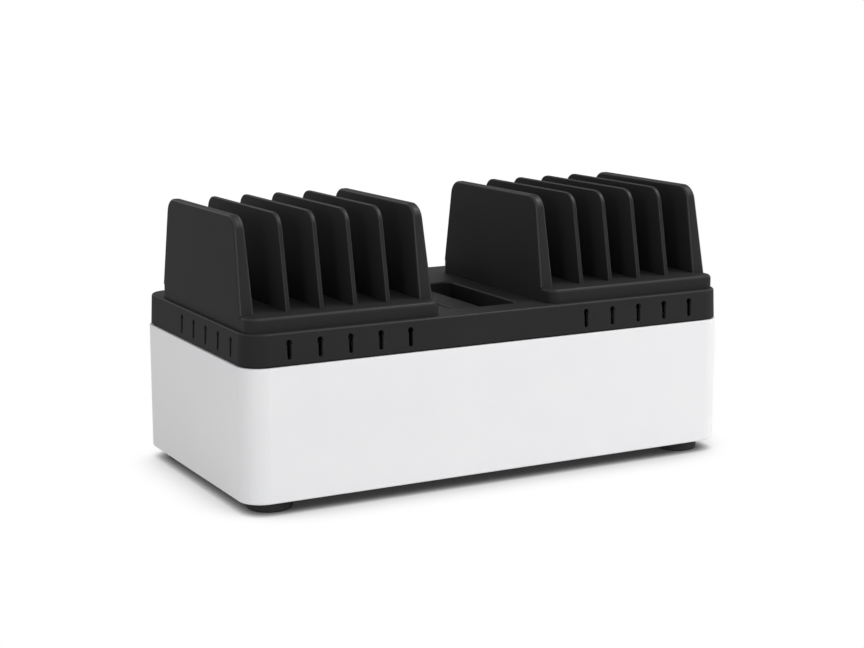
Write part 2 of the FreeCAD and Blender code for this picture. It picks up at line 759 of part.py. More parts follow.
def lid_cover():
    """Moulded lid: drafted skirt, lip inside the tub, rack seats, hand hole and cable slots."""
    outer = drafted_block(lid_inset, lid_inset + lid_draft, (lid_bottom, lid_top))
    outer = outer.makeFillet(lid_edge_radius, edges_level(outer, lid_top))
    hollow_inset = lid_inset + lid_wall
    hollow = drafted_block(hollow_inset, hollow_inset + lid_draft, (lid_bottom - cut_overrun, deck_underside))
    lip_outer = base_wall + lift_clearance
    lip_inner = lip_outer + lip_thickness
    added = [rounded_ring(lid_inset + lid_wall / 2, lip_inner, (lid_bottom, lid_bottom + lip_band)),
             rounded_ring(lip_outer, lip_inner, (lip_bottom, lid_bottom + lip_band))]
    removed = cable_slots()
    seat_grow = 2 * lift_clearance
    pan_grow = seat_grow + 2 * (lid_deck + lift_clearance)
    for side in (-1, 1):
        centre = (side * tray_centre_x, tray_centre_y)
        pan = rounded_block(tray_length + pan_grow, tray_depth + pan_grow,
                            (seat_floor - lid_deck, deck_underside),
                            tray_corner_radius + pan_grow / 2, centre)
        added.append(pan.common(outer))
        removed.append(rounded_block(tray_length + seat_grow, tray_depth + seat_grow,
                                     (seat_floor, lid_top + cut_overrun),
                                     tray_corner_radius + seat_grow / 2, centre))
    well_centre = (0, well_centre_y)
    added.append(rounded_block(well_width + 2 * well_frame_width, well_length + 2 * well_frame_width,
                               (well_frame_bottom, deck_underside + lid_deck / 2),
                               well_corner_radius + well_frame_width, well_centre))
    removed.append(rounded_block(well_width, well_length,
                                 (well_frame_bottom - cut_overrun, lid_top + cut_overrun),
                                 well_corner_radius, well_centre))
    for x, y in well_screw_places():
        removed.append(peg(x, y, (well_frame_bottom - cut_overrun, well_frame_bottom + lid_screw_grip),
                           lid_screw_radius + screw_clearance))
    lid = outer.cut(hollow).fuse(added).cut(removed)
    rim = [edge for edge in edges_level(lid, lid_top)
           if abs(edge.CenterOfMass.x) < well_width / 2 + flat_tolerance
           and abs(edge.CenterOfMass.y - well_centre_y) < well_length / 2 + flat_tolerance]
    return lid.makeFillet(well_rim_radius, rim)


def well_screw_places():
    """Screws along both long sides of the well's flange."""
    spread = well_length - 2 * well_corner_radius
    rows = in_row(well_screws_per_side, spread / (well_screws_per_side - 1), well_centre_y)
    return [(x, y) for x in about(0, well_width + well_wall + well_frame_width) for y in rows]


def grip_screw_places():
    """Screws at the ends of the grip bar, in X, at its mid height."""
    return about(0, grip_screw_spacing)


grip_screw_z = well_frame_bottom - well_flange - lid_screw_head_radius - fit_clearance


def hand_well():
    """Cup under the lid's deck that closes the hand hole, with a screw flange."""
    centre = (0, well_centre_y)
    flange = rounded_block(well_width + 2 * well_frame_width, well_length + 2 * well_frame_width,
                           (well_frame_bottom - well_flange, well_frame_bottom),
                           well_corner_radius + well_frame_width, centre)
    cup = rounded_block(well_width + 2 * well_wall, well_length + 2 * well_wall,
                        (well_floor_top - well_floor, well_frame_bottom),
                        well_corner_radius + well_wall, centre)
    cup = cup.makeFillet(well_corner_radius / 2, edges_level(cup, well_floor_top - well_floor))
    inner = rounded_block(well_width, well_length, (well_floor_top, well_frame_bottom + cut_overrun),
                          well_corner_radius, centre)
    inner = inner.makeFillet(well_corner_radius / 2, edges_level(inner, well_floor_top))
    holes = [peg(x, y, (well_frame_bottom - well_flange - cut_overrun, well_frame_bottom + cut_overrun),
                 lid_screw_radius + screw_clearance) for x, y in well_screw_places()]
    for x in grip_screw_places():
        holes.append(rod(x, (well_front - well_wall - cut_overrun, well_front + cut_overrun), grip_screw_z,
                         lid_screw_radius + screw_clearance))
        holes.append(rod(x, (well_back - cut_overrun, well_back + well_wall + cut_overrun), grip_screw_z,
                         lid_screw_radius + screw_clearance))
    return cup.fuse(flange).cut(inner).cut(holes)


def grip_bar():
    """Rounded bar from the front of the well to its back."""
    bar = block(about(0, grip_width), (well_front, well_back), (grip_top - grip_height, grip_top))
    bar = bar.makeFillet(grip_edge_radius, edges_along(bar, NORTH))
    holes = []
    for x in grip_screw_places():
        for end_y, sign in ((well_front, 1), (well_back, -1)):
            holes.append(rod(x, (end_y - sign * cut_overrun, end_y + sign * lid_screw_grip), grip_screw_z,
                             lid_screw_radius + screw_clearance))
    return bar.cut(holes)


def lid_screws():
    """Screws up through the well's flange, and through its ends into the grip bar."""
    sizes = (lid_screw_head_radius, lid_screw_head_height, lid_screw_radius)
    flange_seat = well_frame_bottom - well_flange
    made = [screw(Vector(x, y, flange_seat), UP, *sizes, well_flange + lid_screw_grip)
            for x, y in well_screw_places()]
    for x in grip_screw_places():
        for seat_y, inward in ((well_front - well_wall, NORTH), (well_back + well_wall, NORTH * -1)):
            made.append(screw(Vector(x, seat_y, grip_screw_z), inward, *sizes, well_wall + lid_screw_grip))
    return made


def upright(x_range, inset, z_low):
    """Solid with the outline of a rack's walls, drawn in by an inset: leaning ends, rounded top corners."""
    front_lean, back_lean = math.radians(panel_front_lean), math.radians(panel_back_lean)

    def front_at(z):
        return panel_front + inset / math.cos(front_lean) + (z - tray_floor) * math.tan(front_lean)

    def back_at(z):
        return panel_back - inset / math.cos(back_lean) - (z - tray_floor) * math.tan(back_lean)

    front_top = tray_floor + panel_front_height - inset
    back_top = tray_floor + panel_back_height - inset
    outline = [(front_at(z_low), z_low), (back_at(z_low), z_low), (back_at(back_top), back_top),
               (front_at(front_top), front_top)]
    points = [Vector(min(x_range), y, z) for y, z in outline]
    solid = Part.Face(Part.makePolygon(points + points[:1])).extrude(EAST * (max(x_range) - min(x_range)))
    for corner, radius in ((points[2], panel_back_radius), (points[3], panel_front_radius)):
        ridge = [edge for edge in edges_along(solid, EAST)
                 if edge.Vertexes[0].Point.distanceToLine(corner, EAST) < flat_tolerance]
        solid = solid.makeFillet(radius - inset, ridge)
    return solid


def soften_rim(solid, radius):
    """Round the edges of both sides of an upright, apart from its foot."""
    sides = sorted(solid.Faces, key=lambda face: face.Area)[-2:]
    foot_level = solid.BoundBox.ZMin + flat_tolerance
    rim = [edge for face in sides for edge in face.Edges if edge.BoundBox.ZMax > foot_level]
    return solid.makeFillet(radius, rim)


def tray_side(side, end):
    """X of a rack's side face: end is -1 for its left side and 1 for its right side."""
    return side * tray_centre_x + end * tray_length / 2


def end_wall_range(side, end):
    """X range of the end wall at one end of a rack."""
    outer = tray_side(side, end)
    return (outer, outer - end * end_wall_thickness)


def divider_places(side):
    """Middles of the dividers, evenly spaced; the slots beside the end walls are a little wider."""
    clear = tray_length - 2 * (end_wall_thickness + end_slot_extra) - divider_count * divider_thickness
    return in_row(divider_count, clear / (divider_count + 1) + divider_thickness, side * tray_centre_x)


def wall_screw_places():
    """Y of the screws in an end wall."""
    return [panel_middle + share * (panel_back - panel_front) for share in wall_screw_y_shares]


def drafted_upright(side, end, inset, z_low):
    """Solid of an end wall drawn in by an inset, both of its sides drafted so that it thins upwards."""
    outer, inner = end_wall_range(side, end)
    low = z_low - cut_overrun
    high = tray_floor + max(panel_front_height, panel_back_height) + cut_overrun
    length = panel_back - panel_front + 2 * cut_overrun
    cutters = []
    for face, outward, draft in ((outer, end, end_wall_draft), (inner, -end, end_wall_inner_draft)):
        slope = math.tan(math.radians(draft))
        low_x, high_x = [face - outward * (inset + (z - tray_floor) * slope) for z in (low, high)]
        beyond = face + outward * end_wall_thickness
        section = [(low_x, low), (beyond, low), (beyond, high), (high_x, high)]
        points = [Vector(x, panel_front - cut_overrun, z) for x, z in section]
        cutters.append(Part.Face(Part.makePolygon(points + points[:1])).extrude(NORTH * length))
    margin = end * end_wall_thickness / 2
    return upright((inner - margin, outer + margin), inset, z_low).cut(cutters)


def end_wall(side, end):
    """Thick hollow wall, open below, with two screw bosses inside."""
    x_range = end_wall_range(side, end)
    wall = soften_rim(drafted_upright(side, end, 0, tray_floor), end_wall_edge_radius)
    middle = sum(x_range) / 2
    core_range = about(middle, end_wall_thickness - 2 * end_wall_shell)
    core = drafted_upright(side, end, end_wall_shell, tray_floor - cut_overrun)
    boss_bottom = tray_floor + key_height + fit_clearance
    boss_heights = (boss_bottom, boss_bottom + end_wall_boss_height)
    bosses = [block(core_range, about(y, end_wall_boss_length), boss_heights) for y in wall_screw_places()]
    holes = [peg(middle, y, (boss_bottom - cut_overrun, tray_floor - tray_top + wall_screw_length),
                 tray_screw_radius + screw_clearance) for y in wall_screw_places()]
    return wall.cut(core.cut(bosses)).cut(holes)


def tongue(x, grow):
    """The part of a divider that enters the rack's floor, grown on every side to cut its slot."""
    ends = (panel_front + tongue_end_inset - grow, panel_back - tongue_end_inset + grow)
    heights = (tray_floor - tongue_depth - grow, tray_floor)
    return block(about(x, divider_thickness + 2 * grow), ends, heights)


def divider(x):
    """Thin divider with a tongue along its foot."""
    x_range = about(x, divider_thickness)
    panel = soften_rim(upright(x_range, 0, tray_floor), divider_edge_radius)
    return panel.fuse(tongue(x, 0))


def tray_posts(side):
    """Where the posts for the closing plate stand."""
    inset = 2 * (tray_wall + tray_post_inset)
    return four_corners(tray_length - inset, tray_depth - inset, (side * tray_centre_x, tray_centre_y))


def tray_base(side):
    """Floor of a rack: an upturned tub with divider slots, sills and keys for the end walls, ribs below."""
    centre = (side * tray_centre_x, tray_centre_y)
    square = rounded_block(tray_length, tray_depth, (tray_underside, tray_floor), tray_corner_radius, centre)
    outer = square.makeFillet(tray_edge_radius, edges_level(square, tray_floor))
    for end in (-1, 1):
        middle = sum(end_wall_range(side, end)) / 2
        sill = rounded_block(end_wall_thickness, panel_back - panel_front,
                             (tray_floor - tray_edge_radius, tray_floor), end_wall_edge_radius,
                             (middle, panel_middle))
        outer = outer.fuse(sill.common(square))
    inner_length, inner_depth = tray_length - 2 * tray_wall, tray_depth - 2 * tray_wall
    ceiling = tray_floor - tray_top
    inner = rounded_block(inner_length, inner_depth, (tray_underside - cut_overrun, ceiling),
                          tray_corner_radius - tray_wall, centre)
    rib_z = (tray_underside + tray_plate, ceiling + tray_top / 2)
    added = [peg(x, y, rib_z, tray_post_radius) for x, y in tray_posts(side)]
    for share in tray_rib_y_shares:
        rib_y = panel_middle + share * (panel_back - panel_front)
        added.append(block(about(centre[0], inner_length + tray_wall), about(rib_y, tray_rib), rib_z))
    removed = []
    key_draft = key_height * math.tan(math.radians(max(end_wall_draft, end_wall_inner_draft)))
    key_y = (panel_front + end_wall_shell + key_end_gap, panel_back - end_wall_shell - key_end_gap)
    key_z = (ceiling + tray_top / 2, tray_floor + key_height)
    for end in (-1, 1):
        outside, inside = end_wall_range(side, end)
        key_inset = end_wall_shell + fit_clearance + key_draft
        added.append(block((inside + end * key_inset, outside - end * key_inset), key_y, key_z))
        for y in wall_screw_places():
            removed.append(peg((outside + inside) / 2, y,
                               (ceiling - cut_overrun, tray_floor + key_height + cut_overrun),
                               tray_screw_radius + screw_clearance))
    for x in divider_places(side):
        removed.append(tongue(x, fit_clearance))
    for x, y in tray_posts(side):
        post_hole = (tray_underside, tray_underside + plate_screw_recess + plate_screw_length)
        removed.append(peg(x, y, post_hole, tray_screw_radius + screw_clearance))
    return outer.cut(inner).fuse(added).cut(removed)


def pad_places(side):
    """Where the anti-slip pads are."""
    return four_corners(tray_length - 2 * pad_inset, tray_depth - 2 * pad_inset,
                        (side * tray_centre_x, tray_centre_y))


def tray_bottom(side):
    """Closing plate inside the tub's rim, with sunk screws and pad recesses."""
    inset = 2 * (tray_wall + fit_clearance)
    plate = rounded_block(tray_length - inset, tray_depth - inset,
                          (tray_underside, tray_underside + tray_plate),
                          tray_corner_radius - inset / 2, (side * tray_centre_x, tray_centre_y))
    low = tray_underside - cut_overrun
    removed = [peg(x, y, (low, tray_underside + pad_recess), pad_radius + fit_clearance)
               for x, y in pad_places(side)]
    for x, y in tray_posts(side):
        removed.append(peg(x, y, (low, tray_underside + plate_screw_recess),
                           tray_screw_head_radius + fit_clearance))
        removed.append(peg(x, y, (low, tray_underside + tray_plate + cut_overrun),
                           tray_screw_radius + screw_clearance))
    return plate.cut(removed)


def tray_pads(side):
    """Soft discs that a rack rests on."""
    return [peg(x, y, (seat_floor, seat_floor + pad_height), pad_radius) for x, y in pad_places(side)]


def tray_screws(side):
    """Screws of the closing plate, and the longer ones up into the end walls."""
    sizes = (tray_screw_head_radius, tray_screw_head_height, tray_screw_radius)
    plate_seat = tray_underside + plate_screw_recess
    made = [screw(Vector(x, y, plate_seat), UP, *sizes, plate_screw_length) for x, y in tray_posts(side)]
    for end in (-1, 1):
        middle = sum(end_wall_range(side, end)) / 2
        for y in wall_screw_places():
            made.append(screw(Vector(middle, y, tray_floor - tray_top), UP, *sizes, wall_screw_length))
    return made


pieces = {"base_shell": base_shell(), "foot_screws": foot_screws()}
for name, (x, y) in zip(foot_names, foot_places):
    pieces["foot_" + name] = foot(x, y)

pieces["rear_plate"] = rear_plate()
pieces["rear_plate_screws"] = rear_plate_screws()
pieces["terminal_cover"] = terminal_cover()
pieces["mains_inlet"] = mains_inlet()
pieces["inlet_pins"] = inlet_pins()
pieces["switch_frame"] = switch_frame()
pieces["switch_rocker"] = switch_rocker()
pieces["breaker_body"] = breaker_body()
pieces["breaker_button"] = breaker_button()

pieces["strip_screws"] = strip_screws()
pieces["lead_clip"] = lead_clip()
pieces["lid_cover"] = lid_cover()
pieces["hand_well"] = hand_well()
pieces["grip_bar"] = grip_bar()
pieces["lid_screws"] = lid_screws()

for hand, side in (("left", -1), ("right", 1)):
    pieces[hand + "_strip_body"] = strip_body(side)
    pieces[hand + "_strip_cover"] = strip_cover_plate(side)
    pieces[hand + "_outlets"] = outlets(side)
    pieces[hand + "_busbars"] = busbars(side)
    pieces[hand + "_lead"] = lead(side)
    tray = hand + "_tray_"
    pieces[tray + "base"] = tray_base(side)
    pieces[tray + "bottom"] = tray_bottom(side)
    pieces[tray + "pads"] = tray_pads(side)
    pieces[tray + "screws"] = tray_screws(side)
    pieces[tray + "inner_wall"] = end_wall(side, -side)
    pieces[tray + "outer_wall"] = end_wall(side, side)
    for number, x in enumerate(divider_places(side), start=1):
        pieces[tray + "divider_" + str(number)] = divider(x)

os.makedirs("parts", exist_ok=True)
for name, shape in pieces.items():
    solids = Part.makeCompound(shape) if isinstance(shape, list) else shape
    solids.exportStep("parts/" + name + ".step")
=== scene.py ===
import math

import bmesh
import bpy
from mathutils import Matrix, Vector


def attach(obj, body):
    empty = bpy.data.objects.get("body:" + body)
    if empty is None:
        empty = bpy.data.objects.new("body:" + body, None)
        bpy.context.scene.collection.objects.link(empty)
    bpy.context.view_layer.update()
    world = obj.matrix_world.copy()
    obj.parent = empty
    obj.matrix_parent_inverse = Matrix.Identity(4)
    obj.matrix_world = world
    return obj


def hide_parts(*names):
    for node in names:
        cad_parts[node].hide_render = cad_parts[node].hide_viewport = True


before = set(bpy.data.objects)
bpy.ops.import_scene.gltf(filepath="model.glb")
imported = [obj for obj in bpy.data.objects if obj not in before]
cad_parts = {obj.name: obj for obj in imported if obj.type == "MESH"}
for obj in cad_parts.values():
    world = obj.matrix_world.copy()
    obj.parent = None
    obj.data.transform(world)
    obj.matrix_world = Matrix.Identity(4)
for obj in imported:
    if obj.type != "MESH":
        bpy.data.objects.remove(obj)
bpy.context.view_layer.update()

# The tub is one white injection-moulded ABS shell that stands on four feet and holds the mains outlets.
# It is a single shot, so its outside has no seam, only the even texture of the mould.
millimetre = 0.001
tub_white = "#E6E6E7"
tub_white_shade = "#E1E1E3"
flow_length = 60 * millimetre
grain_height = 0.05 * millimetre
gloss_drift = 0.05
flat_cosine = 0.96
edge_cosine = 0.8
edge_roughness = 0.4


def linear(hex_colour):
    """sRGB hex to linear RGBA."""
    channels = [int(hex_colour[i:i + 2], 16) / 255 for i in (1, 3, 5)]
    return tuple(c / 12.92 if c <= 0.04045 else ((c + 0.055) / 1.055) ** 2.4 for c in channels) + (1.0,)


def add_node(tree, kind, settings=(), values=(), links=()):
    """Add a shader node, set its properties and its sockets' values, and link what feeds it."""
    node = tree.nodes.new(kind)
    for name, value in dict(settings).items():
        setattr(node, name, value)
    for socket, value in dict(values).items():
        node.inputs[socket].default_value = value
    for socket, source in dict(links).items():
        tree.links.new(source, node.inputs[socket])
    return node


def new_material(name):
    """A material with an empty node tree, and that tree."""
    material = bpy.data.materials.new(name)
    material.use_nodes = True
    material.node_tree.nodes.clear()
    return material, material.node_tree


def rounded_edge(tree, strength, corners):
    """The strength on a piece's rounded edges and 0 on its flat faces.

    The two cosines say how far a face leans from the axes when it begins to count as an edge and when it
    fully does. Without corners, the upright edges count as flat too.
    """
    normal = add_node(tree, "ShaderNodeTexCoord").outputs["Normal"]
    size = add_node(tree, "ShaderNodeVectorMath", {"operation": "ABSOLUTE"}, links={0: normal})
    parts = add_node(tree, "ShaderNodeSeparateXYZ", links={"Vector": size.outputs["Vector"]})
    if corners:
        sideways = add_node(tree, "ShaderNodeMath", {"operation": "MAXIMUM"},
                            links={0: parts.outputs["X"], 1: parts.outputs["Y"]})
    else:
        across = add_node(tree, "ShaderNodeVectorMath", {"operation": "MULTIPLY"},
                          {1: (1.0, 1.0, 0.0)}, {0: normal})
        sideways = add_node(tree, "ShaderNodeVectorMath", {"operation": "LENGTH"},
                            links={0: across.outputs["Vector"]})
    flat = add_node(tree, "ShaderNodeMath", {"operation": "MAXIMUM"},
                    links={0: sideways.outputs["Value"], 1: parts.outputs["Z"]})
    return add_node(tree, "ShaderNodeMapRange", {"interpolation_type": "SMOOTHSTEP"},
                    {"From Min": flat_cosine, "From Max": edge_cosine, "To Max": strength},
                    {"Value": flat.outputs["Value"]}).outputs["Result"]


def moulded_plastic(name, colour, shade, grain, roughness, ior, relief, shine=0.5, polish=0.0, corners=True):
    """Moulded plastic or rubber. Grain is the size of the mould's texture and relief its strength.

    To the eye: an even colour that drifts a little as the melt flowed, and a soft broken shine. Less shine
    gives a drier skin, and polish lets the rounded edges, with or without the corners, catch a line of light.
    """
    material, tree = new_material(name)
    place = add_node(tree, "ShaderNodeTexCoord").outputs["Object"]
    flow = add_node(tree, "ShaderNodeTexNoise", values={"Scale": 1 / flow_length, "Detail": 2.0},
                    links={"Vector": place})
    fine = add_node(tree, "ShaderNodeTexNoise", values={"Scale": 1 / grain, "Detail": 3.0, "Roughness": 0.6},
                    links={"Vector": place})
    tint = add_node(tree, "ShaderNodeMix", {"data_type": "RGBA"}, {6: linear(colour), 7: linear(shade)},
                    {0: flow.outputs["Fac"]})
    gloss = add_node(tree, "ShaderNodeMapRange",
                     values={"To Min": roughness - gloss_drift, "To Max": roughness + gloss_drift},
                     links={"Value": fine.outputs["Fac"]})
    bump = add_node(tree, "ShaderNodeBump", values={"Strength": relief, "Distance": grain_height},
                    links={"Height": fine.outputs["Fac"]})
    surface = add_node(tree, "ShaderNodeBsdfPrincipled", values={"IOR": ior, "Specular IOR Level": shine},
                       links={"Base Color": tint.outputs[2], "Roughness": gloss.outputs["Result"],
                              "Normal": bump.outputs["Normal"]})
    if polish:
        surface.inputs["Coat Roughness"].default_value = edge_roughness
        tree.links.new(rounded_edge(tree, polish, corners), surface.inputs["Coat Weight"])
    add_node(tree, "ShaderNodeOutputMaterial", links={"Surface": surface.outputs["BSDF"]})
    return material


def dress(material, *nodes):
    """Give CAD pieces their material."""
    for node in nodes:
        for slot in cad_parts[node].material_slots:
            slot.material = material


# The real texture is about 0.3 mm; it is drawn at 1.2 mm, because finer than that it can't show.
mould_grain = 1.2 * millimetre
white_abs = moulded_plastic("moulded_white_abs", tub_white, tub_white_shade, mould_grain,
                            roughness=0.45, ior=1.53, relief=0.2)
dress(white_abs, "base_shell")

# The feet are thick discs of black rubber with a rounded tread and a sunk hole for the screw.
# Moulded rubber is matt and slightly grey, as it picks up dust from the table.
rubber_black = "#151515"
rubber_dusty = "#1F1F1E"
black_rubber = moulded_plastic("moulded_rubber", rubber_black, rubber_dusty, grain=1.5 * millimetre,
                               roughness=0.8, ior=1.5, relief=0.5)
dress(black_rubber, "foot_front_left", "foot_front_right", "foot_rear_left", "foot_rear_right")

# Each foot is held by a pan-head steel screw that is driven up through it into a boss of the tub.
# The screw is cold-headed with a cross recess, and zinc plated.
zinc_light = "#C3C4C6"
zinc_dark = "#A2A4A7"
zinc_cloud = 1.5 * millimetre
weld_distance = 0.001 * millimetre
turning_steps = 32
dome_steps = 6
crease_angle = math.radians(35)
# Shares of the head's height: its upright rim, and the depth of the recess.
rim_share = 0.4
recess_depth = 0.6
# Shares of the head's radius: where the head starts, and the span and width of the bars that cut the recess.
head_edge = 0.9
recess_span = 1.2
recess_bar = 0.3
# The share of their span that these bars keep at their tip.
recess_taper = 0.55


def bare_metal(name, light, dark, patch, detail, shiniest, dullest):
    """Bare or plated metal. Patch is the size of its markings along X, Y and Z.

    To the eye: a bright metal whose colour and shine change a little from one patch to the next, as a cloudy
    bloom where the patches are round, and as fine lines that stretch its reflections where they are long.
    """
    material, tree = new_material(name)
    place = add_node(tree, "ShaderNodeTexCoord").outputs["Object"]
    sized = add_node(tree, "ShaderNodeMapping", values={"Scale": [1 / length for length in patch]},
                     links={"Vector": place})
    patches = add_node(tree, "ShaderNodeTexNoise", values={"Scale": 1.0, "Detail": detail},
                       links={"Vector": sized.outputs["Vector"]})
    tint = add_node(tree, "ShaderNodeMix", {"data_type": "RGBA"}, {6: linear(light), 7: linear(dark)},
                    {0: patches.outputs["Fac"]})
    gloss = add_node(tree, "ShaderNodeMapRange", values={"To Min": shiniest, "To Max": dullest},
                     links={"Value": patches.outputs["Fac"]})
    surface = add_node(tree, "ShaderNodeBsdfPrincipled", values={"Metallic": 1.0},
                       links={"Base Color": tint.outputs[2], "Roughness": gloss.outputs["Result"]})
    add_node(tree, "ShaderNodeOutputMaterial", links={"Surface": surface.outputs["BSDF"]})
    return material


def solids_of(node):
    """The corner points of each separate solid in a CAD node."""
    mesh = bmesh.new()
    mesh.from_mesh(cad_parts[node].data)
    bmesh.ops.remove_doubles(mesh, verts=mesh.verts, dist=weld_distance)
    for corner in mesh.verts:
        corner.tag = False
    solids = []
    for start in mesh.verts:
        if start.tag:
            continue
        start.tag = True
        solid, waiting = [], [start]
        while waiting:
            corner = waiting.pop()
            solid.append(corner.co.copy())
            for edge in corner.link_edges:
                other = edge.other_vert(corner)
                if not other.tag:
                    other.tag = True
                    waiting.append(other)
        solids.append(solid)
    mesh.free()
    return solids


def measure_screw(corners):
    """Matrix that stands a screw on its seat with its head up, and its radii and lengths."""
    low = Vector([min(corner[i] for corner in corners) for i in range(3)])
    high = Vector([max(corner[i] for corner in corners) for i in range(3)])
    size = high - low
    along = min(range(3), key=lambda i: abs(size[(i + 1) % 3] - size[(i + 2) % 3]))
    axis = Vector([float(i == along) for i in range(3)])
    middle = (low + high) / 2
    reach = [((corner - middle) - axis * (corner - middle).dot(axis)).length for corner in corners]
    head_radius = max(reach)
    head_starts = head_edge * head_radius
    head_levels = [corner[along] for corner, radius in zip(corners, reach) if radius > head_starts]
    shank_radius = max(radius for radius in reach if radius < head_starts)
    head_height = max(head_levels) - min(head_levels)
    head_up = high[along] - max(head_levels) < weld_distance
    seat = middle.copy()
    seat[along] = min(head_levels) if head_up else max(head_levels)
    turn = (axis if head_up else -axis).to_track_quat("Z", "Y").to_matrix().to_4x4()
    return Matrix.Translation(seat) @ turn, head_radius, head_height, shank_radius, size[along] - head_height


def lathe(mesh, profile):
    """Add to a bmesh a profile of radius and height pairs, turned about Z."""
    rings = []
    for radius, height in profile:
        angles = [2 * math.pi * step / turning_steps for step in range(turning_steps if radius else 1)]
        rings.append([mesh.verts.new((radius * math.cos(a), radius * math.sin(a), height)) for a in angles])
    for below, above in zip(rings, rings[1:]):
        for step in range(turning_steps):
            following = (step + 1) % turning_steps
            corners = [below[step % len(below)], below[following % len(below)],
                       above[following % len(above)], above[step % len(above)]]
            mesh.faces.new(list(dict.fromkeys(corners)))


def add_piece(name, mesh, material):
    """Turn a bmesh into an object of the scene."""
    data = bpy.data.meshes.new(name)
    mesh.to_mesh(data)
    mesh.free()
    data.materials.append(material)
    piece = bpy.data.objects.new(name, data)
    bpy.context.scene.collection.objects.link(piece)
    return piece


def cross_recess(radius, depth):
    """Two crossed bars that narrow downwards, as the driver's tip does."""
    mesh = bmesh.new()
    for turn in (0, math.pi / 2):
        bar = bmesh.ops.create_cube(mesh, size=1.0)["verts"]
        for corner in bar:
            narrowing = 1.0 if corner.co.z > 0 else recess_taper
            corner.co.x *= recess_span * radius * narrowing
            corner.co.y *= recess_bar * radius
            corner.co.z *= 2 * depth
        bmesh.ops.rotate(mesh, verts=bar, cent=(0, 0, 0), matrix=Matrix.Rotation(turn, 3, "Z"))
    return mesh


def pan_head_screws(node, body):
    """Draw the screws of a CAD node, each with a domed head and a cross recess."""
    screws = [measure_screw(solid) for solid in solids_of(node)]
    radius, height, shank = screws[0][1:4]
    dome = [(radius * math.cos(a), height * (rim_share + (1 - rim_share) * math.sin(a)))
            for a in (math.pi / 2 * step / dome_steps for step in range(dome_steps))]
    head_mesh = bmesh.new()
    lathe(head_mesh, [(0, 0), (radius, 0)] + dome + [(0, height)])
    head = add_piece(node + "_head", head_mesh, zinc_plated)
    recess_mesh = cross_recess(radius, recess_depth * height)
    bmesh.ops.translate(recess_mesh, verts=recess_mesh.verts, vec=(0, 0, height))
    recess = add_piece(node + "_recess", recess_mesh, zinc_plated)
    cut = head.modifiers.new("recess", "BOOLEAN")
    cut.object = recess
    cut.use_self = True
    shaped = bpy.data.meshes.new_from_object(head.evaluated_get(bpy.context.evaluated_depsgraph_get()))
    bpy.data.objects.remove(head)
    bpy.data.objects.remove(recess)

    group = bmesh.new()
    for place, _, _, _, length in screws:
        known = len(group.verts)
        group.from_mesh(shaped)
        lathe(group, [(0, 0), (shank, 0), (shank, shank - length), (0, -length)])
        group.verts.ensure_lookup_table()
        bmesh.ops.transform(group, matrix=place, verts=group.verts[known:])
    bmesh.ops.dissolve_degenerate(group, dist=weld_distance, edges=group.edges)
    bmesh.ops.recalc_face_normals(group, faces=group.faces)
    piece = add_piece(node + "_drawn", group, zinc_plated)
    piece.data.shade_smooth()
    piece.data.set_sharp_from_angle(angle=crease_angle)
    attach(piece, body)
    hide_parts(node)


zinc_plated = bare_metal("zinc_plated_steel", zinc_light, zinc_dark, patch=3 * [zinc_cloud], detail=4.0,
                         shiniest=0.25, dullest=0.4)
pan_head_screws("foot_screws", "base")

# A pressed steel plate behind the rear window carries the mains fittings. It is screwed from inside,
# through the ears of the terminal cover, and its face keeps the fine lines of the rolling mill.
steel_light = "#B4B6B8"
steel_dark = "#9FA1A4"
line_spacing = 0.5 * millimetre
line_length = 30 * millimetre
rolled_steel = bare_metal("rolled_steel", steel_light, steel_dark,
                          patch=[line_length, line_spacing, line_spacing], detail=3.0,
                          shiniest=0.3, dullest=0.45)
dress(rolled_steel, "rear_plate")
pan_head_screws("rear_plate_screws", "base")

# The inlet, the switch frame and the breaker snap into the plate. They are moulded of black nylon,
# which is matt and dry beside the glossy rocker and reset button of polished ABS.
nylon_black = "#181818"
nylon_black_shade = "#1D1D1D"
gloss_black = "#0E0E0F"
gloss_black_shade = "#101011"
black_nylon = moulded_plastic("moulded_nylon", nylon_black, nylon_black_shade, mould_grain,
                              roughness=0.6, ior=1.53, relief=0.3)
polished_abs = moulded_plastic("polished_black_abs", gloss_black, gloss_black_shade, grain=6 * millimetre,
                               roughness=0.15, ior=1.54, relief=0.05)
dress(black_nylon, "mains_inlet", "switch_frame", "breaker_body")
dress(polished_abs, "switch_rocker", "breaker_button")

# The inlet's pins and the strips' busbars are stamped from brass sheet.
# Stamped brass is a warm yellow metal, brighter where the tool burnished it.
brass_light = "#D2B36B"
brass_dark = "#B79450"
brass_patch = 4 * millimetre
stamped_brass = bare_metal("stamped_brass", brass_light, brass_dark, patch=3 * [brass_patch], detail=4.0,
                           shiniest=0.2, dullest=0.38)
dress(stamped_brass, "inlet_pins", "left_busbars", "right_busbars")

# The two outlet strips are housings of light grey ABS, screwed down on the floor of the tub, and the cover
# over the terminals is moulded of the same plastic. The strips' covers hold black nylon sockets from above.
strip_grey = "#C9CACC"
strip_grey_shade = "#C2C3C6"
grey_abs = moulded_plastic("moulded_grey_abs", strip_grey, strip_grey_shade, mould_grain,
                           roughness=0.5, ior=1.53, relief=0.25)
dress(grey_abs, "terminal_cover", "left_strip_body", "left_strip_cover", "right_strip_body",
      "right_strip_cover")
dress(black_nylon, "left_outlets", "right_outlets", "lead_clip")
pan_head_screws("strip_screws", "base")

